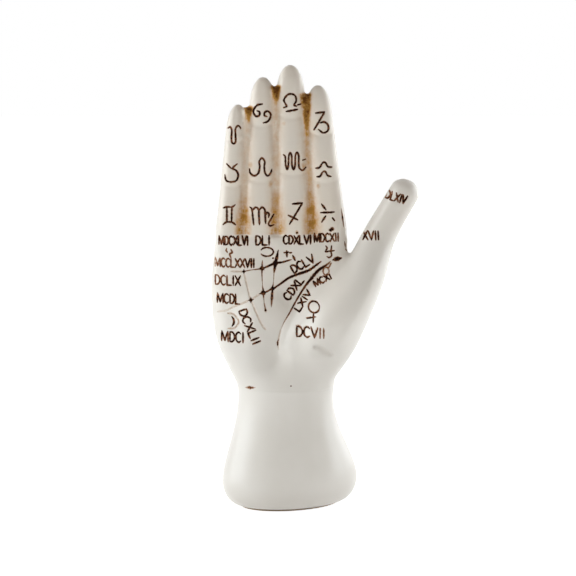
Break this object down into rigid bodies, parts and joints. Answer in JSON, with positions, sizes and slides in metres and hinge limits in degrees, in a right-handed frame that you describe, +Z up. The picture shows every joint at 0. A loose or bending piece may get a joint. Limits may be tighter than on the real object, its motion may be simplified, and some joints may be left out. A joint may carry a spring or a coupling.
{
  "type": "palmistry hand ornament",
  "caption": "Upright glazed ceramic right hand with engraved palm lines, star signs and planet signs, standing on a flared hollow base with a felt foot.",
  "frame": {"origin": "centre of the felt's underside, on the surface that the hand stands on", "axes": "+Z up, from the foot to the fingertips; the palm faces -Y; the thumb points to +X"},
  "size_m": [0.1317, 0.0654, 0.2843],
  "materials": {
    "white_glaze": "glossy white glaze with a brown wash left in the engraved lines and between the fingers",
    "bisque": "unglazed fired clay, matt",
    "felt": "brown pressed felt"
  },
  "bodies": {
    "root": {"palm_half": "white_glaze", "back_half": "white_glaze", "flared_base": "white_glaze", "base_disc": "bisque", "base_felt": "felt"}
  },
  "joints": []
}
